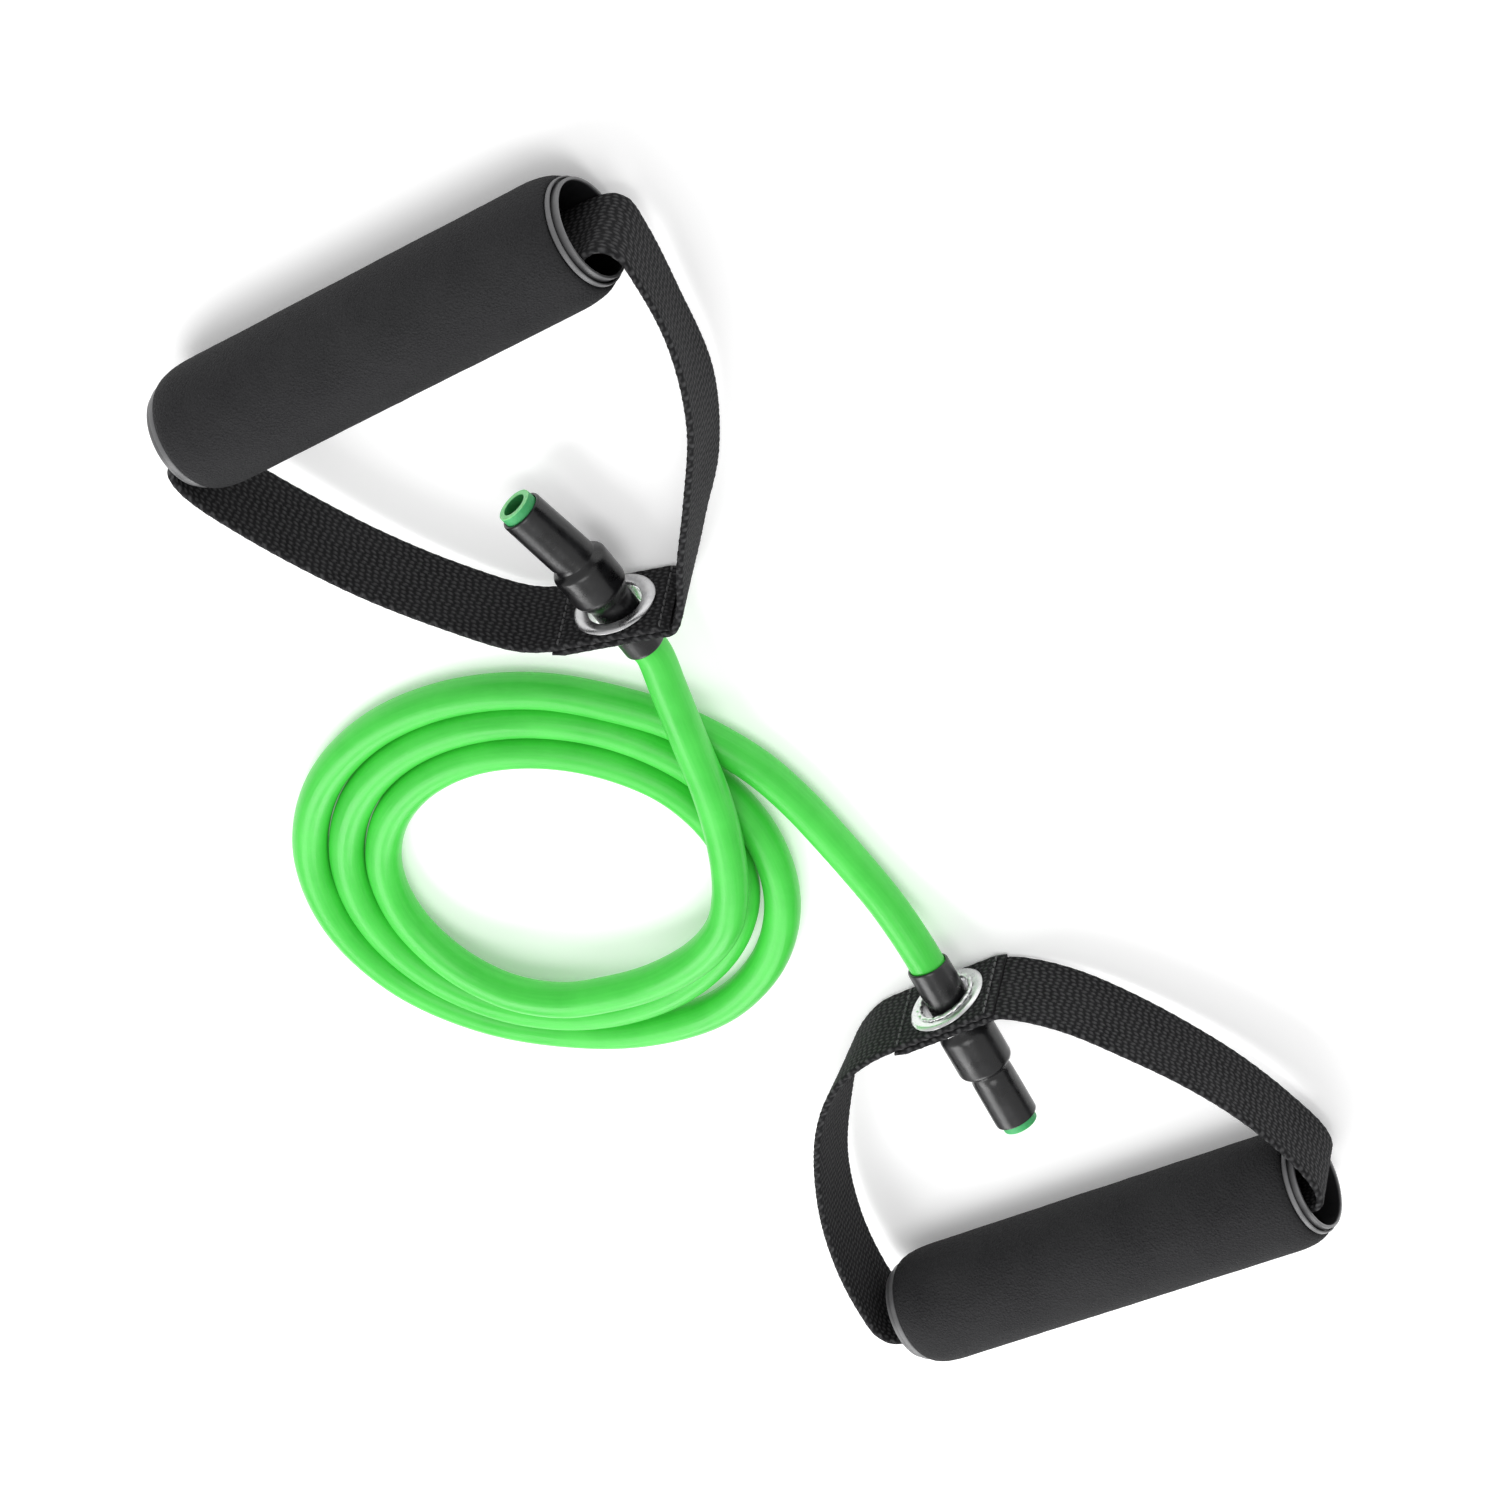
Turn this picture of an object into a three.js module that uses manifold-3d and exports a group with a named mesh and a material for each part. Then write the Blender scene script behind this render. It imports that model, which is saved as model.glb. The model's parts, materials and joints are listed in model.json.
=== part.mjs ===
// Tube resistance band: an elastic tube lying in a loose coil, with a foam-gripped handle on each end.
// Units are millimetres and +Z is up. The origin is on the floor, under the middle of the two handles.

import * as THREE from 'three';
import { mergeVertices } from 'three/addons/utils/BufferGeometryUtils.js';
import Module from 'manifold-3d';

const wasm = await Module();
wasm.setup();

// ---- Driving dimensions ----

const GAP = 0.3;                    // clearance between pieces that touch in the real object

const BAND_R = 5;                   // elastic tube, outside
const BORE_R = 3.4;                 // elastic tube, inside
const COIL_IN = 40;                 // hole of the coil
const COIL_OUT = 70.5;              // outside of the coil
const COIL_CENTRE = [-55, -52];
const COIL_EDGE = 3.5;              // rounding of the coil's outline

const GRIP_R = 17;                  // foam sleeve, outside
const GRIP_HALF = 63.5;             // half of the foam's length
const GRIP_ROUND = 9;               // length of the foam's rounded end
const GRIP_END_R = 14.6;            // foam radius where it meets the end ring
const HOLE_R = 12.6;                // clear hole through rings and core, for the webbing
const CORE_R = 13.7;                // core tube, outside
const RING_R = 14.4;                // end ring, outside
const RING_RIM = 1.4;               // height of the ring's outer rim past the foam
const RING_FLANGE = 3.1;            // height of its inner lip, which stands higher
const RING_COLLAR = 8;              // length of the ring's collar inside the foam
const RING_EDGE = 0.3;              // bevel of the rim and of the lip
const GROOVE_OUT = 13.9;            // round groove between rim and lip, its outer and inner radius
const GROOVE_IN = 13.4;
const GROOVE_DEPTH = 0.6;

const WEB_WIDTH = 24.5;
const WEB_THICK = 1.6;
const LAYER_GAP = 0.4;              // between the two sewn layers, which touch in the real strap
const LAYER_HALF = (WEB_THICK + LAYER_GAP) / 2;
const LAP_HALF = 16.5;              // half of the sewn overlap's length
const STRAP_STEPS = 132;

const GROMMET_R = 11.6;              // grommet flange, outside
const GROMMET_HOLE = 7.4;
const BARREL_WALL = 0.7;
const CROWN = 0.9;                  // height of the rounded front flange
const WASHER_THICK = 0.8;           // washer on the band's side
const CURL = 0.7;                   // height of the barrel's rolled end
const GROMMET_EDGE = 0.5;           // rounding of the flange's and washer's outer corners
const WEB_HOLE_R = GROMMET_HOLE + BARREL_WALL + GAP;
const GROMMET_Z = 12.6;             // height of the grommet's centre above the floor

const SLEEVE_R = 5.9;               // black end sleeve where it passes the grommet
const BULGE_R = 7.9;                // sleeve over the plug: too wide for the grommet
const SLEEVE_TAIL_R = 6.1;
const SLEEVE_WALL = 0.6;
const JOINT_AT = 6;                 // band end and band tail meet this far behind the grommet
const PLUG_FROM = 8;                // plug inside the tube, measured on the handle's side
const PLUG_TO = 18;
const PLUG_R = 5.2;
const PLUG_NOSE_R = 2.4;
const POCKET_R = 5.6;               // swollen bore around the plug
const POCKET_NECK = 6.5;
const POCKET_FROM = 9.2;
const POCKET_TO = 16.8;
const SWELL_FROM = 5;               // sleeve and tube start to swell here, in front of the grommet
const SWELL_FULL = 8.5;
const SHOULDER_NEAR = 1;            // the bulge falls away from this far in front of the shoulder's place
const SHOULDER_FAR = 0.5;           // to this far behind it
const BEND_LENGTH = 3;              // the tail bends over this length, behind the shoulder

// Each handle has its own frame: x along the grip, y towards the grommet, z up, origin in the grip's middle.
// The legs run from the sewn overlap at the grommet to the grip's ends, in the plane of the strap.
// end gives, from the grommet: the sleeve's length on the band's side (back), and on the handle's side the
// bulge's shoulder, the sleeve's front and the tube's cut tip, and how far the tail bends sideways, in degrees.
const HANDLES = {
  a: {
    centre: [-123, 128], heading: 227, grommet: [5.7, 103], lapTurn: -16,
    bandHeading: -46.5, bandPitch: 2,
    end: { back: 12.7, shoulder: 18.8, front: 39.8, tip: 42.3, bend: 9 },
    rightLeg: [
      [29, 93], [41.5, 76.5], [52, 58.5], [60, 40.5], [66, 24], [69.5, 12], [70, 5.5], [68.5, 1],
    ],
    leftLeg: [
      [-70.5, 0.5], [-73, 4], [-72, 13], [-67, 32], [-57, 56], [-41, 77.5], [-27, 92], [-15, 105],
    ],
  },
  b: {
    centre: [121.5, -131.5], heading: 44.3, grommet: [7.5, 96.5], lapTurn: 1.5,
    bandHeading: 131, bandPitch: 9.5,
    end: { back: 14, shoulder: 21.5, front: 39.5, tip: 42, bend: 0 },
    rightLeg: [
      [30, 92.5], [39, 84], [48.5, 70.5], [57.5, 55], [64.5, 39.5], [69.5, 22.5], [71.5, 7], [69.5, 1],
    ],
    leftLeg: [
      [-70, 1], [-72.5, 5], [-72, 14], [-68, 32], [-59, 54], [-43, 77.5], [-30, 90.5], [-18, 96],
    ],
  },
};

// The free stretches of the band, from each end sleeve to the coil.
const ROUTE_A = [
  [-34.6, 32.4, 13.4], [-25.8, 17.4, 15.5], [-17.8, 2.2, 15.6], [-12.0, -11.2, 15.6],
  [-7.6, -24.8, 15.6], [-5.6, -35.0, 15.6], [-5.3, -46.0, 15.6],
];
const ROUTE_B = [
  [41.0, -37.2, 7.4], [34.3, -31.0, 5.8], [26.5, -23.8, 5.1], [16.4, -14.2, 5.05],
  [5.2, -4.2, 5.05],
];

// ---- Materials ----

function material(color, roughness, metalness = 0) {
  return new THREE.MeshStandardMaterial({ color, roughness, metalness });
}

const rubberGreen = () => material(0x4be84b, 0.35);
const foamBlack = () => material(0x26272a, 0.92);
const webbingBlack = () => material(0x1b1b1e, 0.85);
const plasticGrey = () => material(0x55565a, 0.45);
const plasticDark = () => material(0x2c2d30, 0.6);
const nickel = () => material(0xd6d6d8, 0.2, 1);
const sleeveBlack = () => material(0x0e0e10, 0.28);

// ---- Helpers ----

const radians = THREE.MathUtils.degToRad;
const UPRIGHT = new THREE.Vector3(0, 0, 1);

function mesh(name, geometry, look) {
  const piece = new THREE.Mesh(geometry, look);
  piece.name = name;
  return piece;
}

function toSolid(geometry) {
  const bare = geometry.clone();
  bare.deleteAttribute('normal');
  bare.deleteAttribute('uv');
  const welded = mergeVertices(bare.index ? bare.toNonIndexed() : bare, 1e-4);
  return new wasm.Manifold(new wasm.Mesh({
    numProp: 3,
    vertProperties: new Float32Array(welded.attributes.position.array),
    triVerts: new Uint32Array(welded.index.array),
  }));
}

function toGeometry(solid) {
  const cut = solid.getMesh();
  const geometry = new THREE.BufferGeometry();
  geometry.setAttribute('position', new THREE.BufferAttribute(cut.vertProperties, 3));
  geometry.setIndex(new THREE.BufferAttribute(cut.triVerts, 1));
  geometry.computeVertexNormals();
  return geometry;
}

// A piece turned about +Y from a closed outline of [radius, height], with its faces pointing out.
function lathe(outline, sides) {
  const points = outline.map(([radius, height]) => new THREE.Vector2(radius, height));
  if (THREE.ShapeUtils.area(points) < 0) points.reverse();
  points.push(points[0].clone());
  return new THREE.LatheGeometry(points, sides);
}

// A piece turned about +X, from a closed profile of [position along X, radius].
function turned(profile, sides) {
  const geometry = lathe(profile.map(([along, radius]) => [radius, along]), sides);
  geometry.rotateZ(-Math.PI / 2);
  return geometry;
}

function roundBar(points, radius, sides, steps) {
  const section = new THREE.Shape();
  for (let i = 0; i < sides; i++) {
    const angle = (2 * Math.PI * i) / sides;
    const corner = [radius * Math.cos(angle), radius * Math.sin(angle)];
    if (i === 0) section.moveTo(...corner);
    else section.lineTo(...corner);
  }
  section.closePath();
  return new THREE.ExtrudeGeometry(section, {
    steps, curveSegments: 1, bevelEnabled: false, extrudePath: new THREE.CatmullRomCurve3(points),
  });
}

// ---- Grip ----

function foamProfile() {
  const profile = [];
  const segments = 4;
  for (let i = 0; i <= segments; i++) {
    const angle = (Math.PI / 2) * (i / segments);
    const along = GRIP_HALF - GRIP_ROUND * (1 - Math.cos(angle));
    profile.push([along, GRIP_END_R + (GRIP_R - GRIP_END_R) * Math.sin(angle)]);
  }
  const mirrored = profile.map(([along, radius]) => [-along, radius]);
  const bore = CORE_R + GAP;
  return [[GRIP_HALF, bore], [-GRIP_HALF, bore], ...mirrored, ...profile.reverse()];
}

function endRingProfile() {
  const inner = GRIP_HALF + GAP;
  const rim = inner + RING_RIM;
  const lip = inner + RING_FLANGE;
  const back = GRIP_HALF - RING_COLLAR;
  return [
    [back, HOLE_R], [back, CORE_R], [inner, CORE_R], [inner, RING_R],
    [rim - RING_EDGE, RING_R], [rim, RING_R - RING_EDGE],
    [rim, GROOVE_OUT], [rim - GROOVE_DEPTH, GROOVE_OUT], [rim - GROOVE_DEPTH, GROOVE_IN],
    [lip - RING_EDGE, GROOVE_IN], [lip, GROOVE_IN - RING_EDGE],
    [lip, HOLE_R + RING_EDGE], [lip - RING_EDGE, HOLE_R],
  ];
}

function coreProfile() {
  const half = GRIP_HALF - RING_COLLAR - GAP;
  return [[-half, HOLE_R], [-half, CORE_R], [half, CORE_R], [half, HOLE_R]];
}

function buildGrip(tag) {
  const grip = new THREE.Group();
  grip.add(mesh(`foam_grip_${tag}`, turned(foamProfile(), 32), foamBlack()));
  grip.add(mesh(`core_tube_${tag}`, turned(coreProfile(), 28), plasticDark()));
  for (const [side, turn] of [['right', 0], ['left', Math.PI]]) {
    const ring = mesh(`end_ring_${tag}_${side}`, turned(endRingProfile(), 28), plasticGrey());
    ring.rotation.z = turn;
    grip.add(ring);
  }
  return grip;
}

// ---- Strap ----

// A point on the sewn overlap: along it from the grommet, and out from its middle plane.
function lapPoint(handle, along, out) {
  const turn = radians(handle.lapTurn);
  const x = handle.grommet[0] + along * Math.cos(turn) - out * Math.sin(turn);
  const y = handle.grommet[1] + along * Math.sin(turn) + out * Math.cos(turn);
  return new THREE.Vector3(x, y, 0);
}

// The webbing is one strip. It starts as the overlap's inner layer, runs down the right leg, through
// the grip and up the left leg, and ends as the overlap's outer layer.
function strapPath(handle) {
  const lap = [-1, -0.75, -0.25, 0.25, 0.75, 1].map((share) => share * LAP_HALF);
  const inner = lap.map((along) => lapPoint(handle, along, -LAYER_HALF));
  const outer = lap.map((along) => lapPoint(handle, along, LAYER_HALF));
  const through = [[64, 0], [52, 0], [18, 0], [-18, 0], [-52, 0], [-64, 0]];
  const legs = [...handle.rightLeg, ...through, ...handle.leftLeg];
  const middle = legs.map(([x, y]) => new THREE.Vector3(x, y, 0));
  return new THREE.CatmullRomCurve3([...inner, ...middle, ...outer]);
}

function webbingGeometry(handle) {
  const section = new THREE.Shape();
  section.moveTo(-WEB_WIDTH / 2, -WEB_THICK / 2);
  section.lineTo(WEB_WIDTH / 2, -WEB_THICK / 2);
  section.lineTo(WEB_WIDTH / 2, WEB_THICK / 2);
  section.lineTo(-WEB_WIDTH / 2, WEB_THICK / 2);
  section.closePath();
  const strip = new THREE.ExtrudeGeometry(section, {
    steps: STRAP_STEPS, curveSegments: 1, bevelEnabled: false, extrudePath: strapPath(handle),
  });
  const punch = new THREE.CylinderGeometry(WEB_HOLE_R, WEB_HOLE_R, 12, 24);
  punch.rotateZ(radians(handle.lapTurn));
  punch.translate(handle.grommet[0], handle.grommet[1], 0);
  return toGeometry(toSolid(strip).subtract(toSolid(punch)));
}

// The grommet's axis is +X here; +X is the band's side of the strap.
function grommetFrontProfile() {
  const face = LAYER_HALF + WEB_THICK / 2 + GAP;
  const barrel = GROMMET_HOLE + BARREL_WALL;
  const curl = face + WASHER_THICK + GAP;
  return [
    [-face - CROWN * 0.85, GROMMET_HOLE + GROMMET_EDGE], [-face - CROWN, GROMMET_HOLE + 2 * BARREL_WALL],
    [-face - CROWN * 0.7, GROMMET_R - GROMMET_EDGE], [-face, GROMMET_R],
    [-face, barrel], [curl, barrel], [curl, barrel + BARREL_WALL],
    [curl + CURL, barrel], [curl + CURL / 2, GROMMET_HOLE], [-face, GROMMET_HOLE],
  ];
}

function grommetBackProfile() {
  const face = LAYER_HALF + WEB_THICK / 2 + GAP;
  const inner = GROMMET_HOLE + BARREL_WALL + GAP;
  const top = face + WASHER_THICK;
  return [
    [face, inner], [top, inner], [top, GROMMET_R - GROMMET_EDGE], [top - GROMMET_EDGE, GROMMET_R],
    [face, GROMMET_R],
  ];
}

function buildStrap(tag, handle) {
  const strap = new THREE.Group();
  strap.add(mesh(`webbing_strap_${tag}`, webbingGeometry(handle), webbingBlack()));
  const grommet = new THREE.Group();
  grommet.position.set(handle.grommet[0], handle.grommet[1], 0);
  grommet.rotation.z = radians(handle.lapTurn + 90);
  grommet.add(mesh(`grommet_front_${tag}`, turned(grommetFrontProfile(), 24), nickel()));
  grommet.add(mesh(`grommet_back_${tag}`, turned(grommetBackProfile(), 24), nickel()));
  strap.add(grommet);
  return strap;
}

function buildHandle(tag, handle) {
  const group = new THREE.Group();
  group.position.set(handle.centre[0], handle.centre[1], GRIP_R);
  group.rotation.order = 'ZXY';
  group.rotation.z = radians(handle.heading);
  group.rotation.x = -Math.asin((GRIP_R - GROMMET_Z) / handle.grommet[1]);
  group.add(buildGrip(tag), buildStrap(tag, handle));
  return group;
}

// ---- Band ----

// The end frame sits in the grommet: +X points along the band, away from the handle.
function endFrame(handle) {
  const turn = radians(handle.heading);
  const tilt = Math.asin((GRIP_R - GROMMET_Z) / handle.grommet[1]);
  const [x, y] = [handle.grommet[0], handle.grommet[1] * Math.cos(tilt)];
  const frame = new THREE.Group();
  frame.position.set(
    handle.centre[0] + x * Math.cos(turn) - y * Math.sin(turn),
    handle.centre[1] + x * Math.sin(turn) + y * Math.cos(turn),
    GROMMET_Z,
  );
  frame.rotation.order = 'ZYX';
  frame.rotation.z = radians(handle.bandHeading);
  frame.rotation.y = radians(handle.bandPitch);
  frame.updateMatrixWorld();
  return frame;
}

// The plug swells tube and sleeve together, up to an abrupt shoulder; negative X is the handle's side.
function swelling(base, swollen, tail, shoulder) {
  return [
    [-SWELL_FROM, base], [-SWELL_FULL, swollen],
    [SHOULDER_NEAR - shoulder, swollen], [-shoulder - SHOULDER_FAR, tail],
  ];
}

function sleeveProfile({ back, shoulder, front }) {
  const bore = BAND_R + GAP;
  const outside = swelling(SLEEVE_R, BULGE_R, SLEEVE_TAIL_R, shoulder + GAP);
  const inside = swelling(bore, BULGE_R - SLEEVE_WALL, bore, shoulder + GAP);
  return [
    [back, bore], [back, SLEEVE_R], ...outside, [-shoulder - BEND_LENGTH, SLEEVE_TAIL_R],
    [-front, SLEEVE_TAIL_R], [-front, bore], [-shoulder - BEND_LENGTH, bore], ...inside.reverse(),
  ];
}

function bandEndProfile({ shoulder, tip }) {
  const outside = swelling(BAND_R, BULGE_R - SLEEVE_WALL - GAP, BAND_R, shoulder);
  const inside = [
    [-POCKET_NECK, BORE_R], [-POCKET_FROM, POCKET_R], [-POCKET_TO, POCKET_R],
    [-shoulder - SHOULDER_NEAR, BORE_R],
  ];
  return [
    [JOINT_AT, BORE_R], [JOINT_AT, BAND_R], ...outside, [-shoulder - BEND_LENGTH, BAND_R],
    [GAP - tip, BAND_R], [-tip, BAND_R - GAP], [-tip, BORE_R], [-shoulder - BEND_LENGTH, BORE_R],
    ...inside.reverse(),
  ];
}

// Turns what lies behind the shoulder about the upright axis there, little by little over BEND_LENGTH.
function bendTail(geometry, { shoulder, bend }) {
  const points = geometry.attributes.position;
  const point = new THREE.Vector3();
  for (let i = 0; i < points.count; i++) {
    point.fromBufferAttribute(points, i);
    const past = -point.x - shoulder;
    if (past <= 0) continue;
    const angle = radians(bend) * Math.min(1, past / BEND_LENGTH);
    point.x += shoulder;
    point.applyAxisAngle(UPRIGHT, angle);
    point.x -= shoulder;
    points.setXYZ(i, point.x, point.y, point.z);
  }
  return geometry;
}

function plugProfile() {
  const taper = (PLUG_R - PLUG_NOSE_R) * 0.65;
  return [
    [-PLUG_FROM, 0], [-PLUG_FROM, PLUG_NOSE_R], [-PLUG_FROM - taper, PLUG_R],
    [taper - PLUG_TO, PLUG_R], [-PLUG_TO, PLUG_NOSE_R], [-PLUG_TO, 0],
  ];
}

function buildBandEnd(tag, handle) {
  const frame = endFrame(handle);
  const sleeve = bendTail(turned(sleeveProfile(handle.end), 20), handle.end);
  frame.add(mesh(`end_sleeve_${tag}`, sleeve, sleeveBlack()));
  const bandEnd = bendTail(turned(bandEndProfile(handle.end), 20), handle.end);
  frame.add(mesh(`band_end_${tag}`, bandEnd, rubberGreen()));
  frame.add(mesh(`retaining_plug_${tag}`, turned(plugProfile(), 16), plasticDark()));
  return frame;
}

function tailPath(handle, route) {
  const frame = endFrame(handle);
  const { back } = handle.end;
  const straight = [JOINT_AT + GAP, 10, back, back + 4];
  const start = straight.map((along) => new THREE.Vector3(along, 0, 0).applyMatrix4(frame.matrixWorld));
  return [...start, ...route.map((point) => new THREE.Vector3(...point))];
}

// The coil's turns as one ring with rounded corners, lying on the floor.
function coilGeometry() {
  const inner = COIL_IN + COIL_EDGE;
  const outer = COIL_OUT - COIL_EDGE;
  const top = 2 * BAND_R - COIL_EDGE;
  const corners = [[outer, COIL_EDGE], [outer, top], [inner, top], [inner, COIL_EDGE]];
  const outline = [];
  for (const [corner, [radius, level]] of corners.entries()) {
    for (let step = 0; step <= 2; step++) {
      const angle = radians(90 * (corner - 1) + 45 * step);
      outline.push([radius + COIL_EDGE * Math.cos(angle), level + COIL_EDGE * Math.sin(angle)]);
    }
  }
  const geometry = lathe(outline, 48);
  geometry.rotateX(Math.PI / 2);
  return geometry;
}

function buildBand() {
  const band = new THREE.Group();
  const coil = mesh('band_coil', coilGeometry(), rubberGreen());
  coil.position.set(COIL_CENTRE[0], COIL_CENTRE[1], 0);
  band.add(coil);
  const tailA = roundBar(tailPath(HANDLES.a, ROUTE_A), BAND_R, 10, 34);
  band.add(mesh('band_tail_a', tailA, rubberGreen()));
  const tailB = roundBar(tailPath(HANDLES.b, ROUTE_B), BAND_R, 10, 28);
  band.add(mesh('band_tail_b', tailB, rubberGreen()));
  return band;
}

// ---- Assembly ----

const resistanceBand = new THREE.Group();
resistanceBand.add(buildBand());
for (const [tag, handle] of Object.entries(HANDLES)) {
  resistanceBand.add(buildBandEnd(tag, handle));
  resistanceBand.add(buildHandle(tag, handle));
}

export default resistanceBand;
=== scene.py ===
"""Looks of a tube resistance band with two foam-gripped handles, in metres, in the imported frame."""
import json
import math

import bmesh
import bpy
import numpy as np
from mathutils import Matrix, Vector, noise


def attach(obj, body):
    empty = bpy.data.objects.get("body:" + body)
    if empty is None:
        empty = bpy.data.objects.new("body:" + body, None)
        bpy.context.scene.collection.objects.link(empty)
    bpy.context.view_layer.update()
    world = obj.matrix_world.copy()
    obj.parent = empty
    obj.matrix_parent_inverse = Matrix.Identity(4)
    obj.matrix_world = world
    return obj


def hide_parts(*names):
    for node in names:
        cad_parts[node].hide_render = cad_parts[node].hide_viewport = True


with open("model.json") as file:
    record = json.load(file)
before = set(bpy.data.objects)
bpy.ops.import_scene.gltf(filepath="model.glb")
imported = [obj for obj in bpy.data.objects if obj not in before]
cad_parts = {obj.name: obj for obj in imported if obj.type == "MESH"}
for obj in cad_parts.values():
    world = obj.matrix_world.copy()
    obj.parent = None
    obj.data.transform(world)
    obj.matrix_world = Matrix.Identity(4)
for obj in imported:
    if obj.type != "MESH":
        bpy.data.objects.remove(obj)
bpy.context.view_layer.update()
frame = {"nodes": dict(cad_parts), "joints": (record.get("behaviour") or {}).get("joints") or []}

MM = 0.001
GAP = 0.3 * MM                  # clearance between pieces that touch in the real object
TAGS = ("a", "b")

# ---- Driving dimensions ----

BAND_R = 5 * MM                 # elastic tube, outside
BORE_R = 3.4 * MM               # elastic tube, inside
BAND_SIDES = 32
BAND_STEP = 2 * MM              # from one ring of the tube's mesh to the next

COIL_CENTRE = (-0.0537, -0.0539)
COIL_FIRST = 0.02               # turns counted from straight ahead of the coil's centre, clockwise
COIL_LAST = 2.78
COIL_START_R = 41 * MM          # centre line of the innermost turn
COIL_PITCH = 10.2 * MM          # from one turn to the next
COIL_OVAL = 1.7 * MM            # how far the turns stray from round
COIL_OVAL_TURN = 30             # degrees, where they are widest
COIL_POINTS = 16                # for each turn
ROLL_OFF = 0.45                 # share of the first turn that rides up on its neighbour
ROLL_ANGLE = 65                 # degrees up round the neighbour, at turn 0
# Where the turns are pushed together, each leaning on the one outside it: place and half width in turns, the
# lean in degrees, and how far the outermost turn comes in.
HEAP_AT = 0.21
HEAP_HALF = 0.15
HEAP_LEAN = 20
HEAP_INWARDS = 3.8 * MM
# Places where a turn strays from its neighbour: (turn, half width in turns, outwards)
COIL_STRAYS = ((2.09, 0.1, 3.5 * MM), (0.13, 0.11, -4 * MM), (0.75, 0.07, -1 * MM))

SLEEVE_R = 5.9 * MM             # black end sleeve where it passes the grommet
BULGE_R = 7.9 * MM              # sleeve over the plug: too wide for the grommet
SLEEVE_TAIL_R = 6.1 * MM
SLEEVE_WALL = 0.6 * MM
BEND_LENGTH = 3 * MM            # the tail bends over this length, behind the shoulder
SWELL_FROM = 5 * MM             # the sleeve starts to swell over the plug
SWELL_FULL = 8.5 * MM
POCKET_NECK = 6.5 * MM          # the bore widens round the plug, between FROM and TO
POCKET_FROM = 9.2 * MM
POCKET_TO = 16.8 * MM
POCKET_R = 5.6 * MM
SHOULDER_NEAR = 1 * MM          # the bulge falls away from this far in front of the shoulder's place
SHOULDER_FAR = 0.5 * MM         # to this far behind it
# From the grommet: the sleeve on the band's side, then on the handle's side the bulge's shoulder, the
# sleeve's front, the tube's cut tip, and the tail's sideways bend in degrees.
ENDS = {
    "a": {"back": 0.0127, "shoulder": 0.0188, "front": 0.0398, "tip": 0.0423, "bend": 9},
    "b": {"back": 0.014, "shoulder": 0.0215, "front": 0.0395, "tip": 0.042, "bend": 0},
}

GRIP_R = 17 * MM                # foam sleeve, outside
GRIP_HALF = 63.5 * MM           # half of the foam's length
GRIP_ROUND = 9 * MM             # length of the foam's rounded end
GRIP_END_R = 14.6 * MM          # foam radius where it meets the end ring
HOLE_R = 12.6 * MM              # clear hole through rings and core, for the webbing
CORE_R = 13.7 * MM              # core tube and the rings' collars, outside
RING_R = 14.4 * MM              # end ring, outside
RING_RIM = 1.4 * MM             # height of the ring's outer rim past the foam
RING_FLANGE = 3.1 * MM          # height of its inner lip, which stands higher
GROOVE_OUT = 13.9 * MM          # round groove between rim and lip, its outer and inner radius
GROOVE_IN = 13.4 * MM
GROOVE_DEPTH = 0.8 * MM
RING_COLLAR = 8 * MM            # length of the ring's collar inside the foam

WEB_WIDTH = 24.5 * MM
WEB_THICK = 1.6 * MM
LAYER_HALF = 1 * MM             # half of the step between the two sewn layers
LAP_HALF = 16.5 * MM            # half of the sewn overlap's length
WEAVE_RIB = 1.4 * MM            # from one bump to the next along a row
WEAVE_ROW = 2 * MM              # from one row to the next along the strip
WEAVE_RELIEF = 0.26 * MM        # height of the bumps
WEAVE_STEP = 0.5 * MM           # from one ring of the webbing's mesh to the next
CUT_TAPER = 3 * MM              # the strip's cut ends thin out over this length
CUT_THIN = 0.45

GROMMET_R = 11.6 * MM           # grommet flange, outside
GROMMET_HOLE = 7.4 * MM
BARREL_WALL = 0.7 * MM
CROWN = 0.9 * MM                # height of the rounded front flange

STITCH_ROW = 14.2 * MM          # from the grommet's centre to each row
STITCH_PITCH = 2.6 * MM
STITCHES_BESIDE = 4             # on each side of a row's middle one
STITCH_LENGTH = 2.2 * MM
THREAD_R = 0.3 * MM

# The same lists as in part.mjs, in metres. Legs are in the handle's own frame: x along the grip and y
# towards the grommet.
LAP_TURN = {"a": -16, "b": 1.5}  # degrees that the overlap is turned from the grip's direction
RIGHT_LEG = {
    "a": [(0.029, 0.093), (0.0415, 0.0765), (0.052, 0.0585), (0.06, 0.0405),
          (0.066, 0.024), (0.0695, 0.012), (0.07, 0.0055), (0.0685, 0.001)],
    "b": [(0.03, 0.0925), (0.039, 0.084), (0.0485, 0.0705), (0.0575, 0.055),
          (0.0645, 0.0395), (0.0695, 0.0225), (0.0715, 0.007), (0.0695, 0.001)],
}
LEFT_LEG = {
    "a": [(-0.0705, 0.0005), (-0.073, 0.004), (-0.072, 0.013), (-0.067, 0.032),
          (-0.057, 0.056), (-0.041, 0.0775), (-0.027, 0.092), (-0.015, 0.105)],
    "b": [(-0.07, 0.001), (-0.0725, 0.005), (-0.072, 0.014), (-0.068, 0.032),
          (-0.059, 0.054), (-0.043, 0.0775), (-0.03, 0.0905), (-0.018, 0.096)],
}
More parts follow.
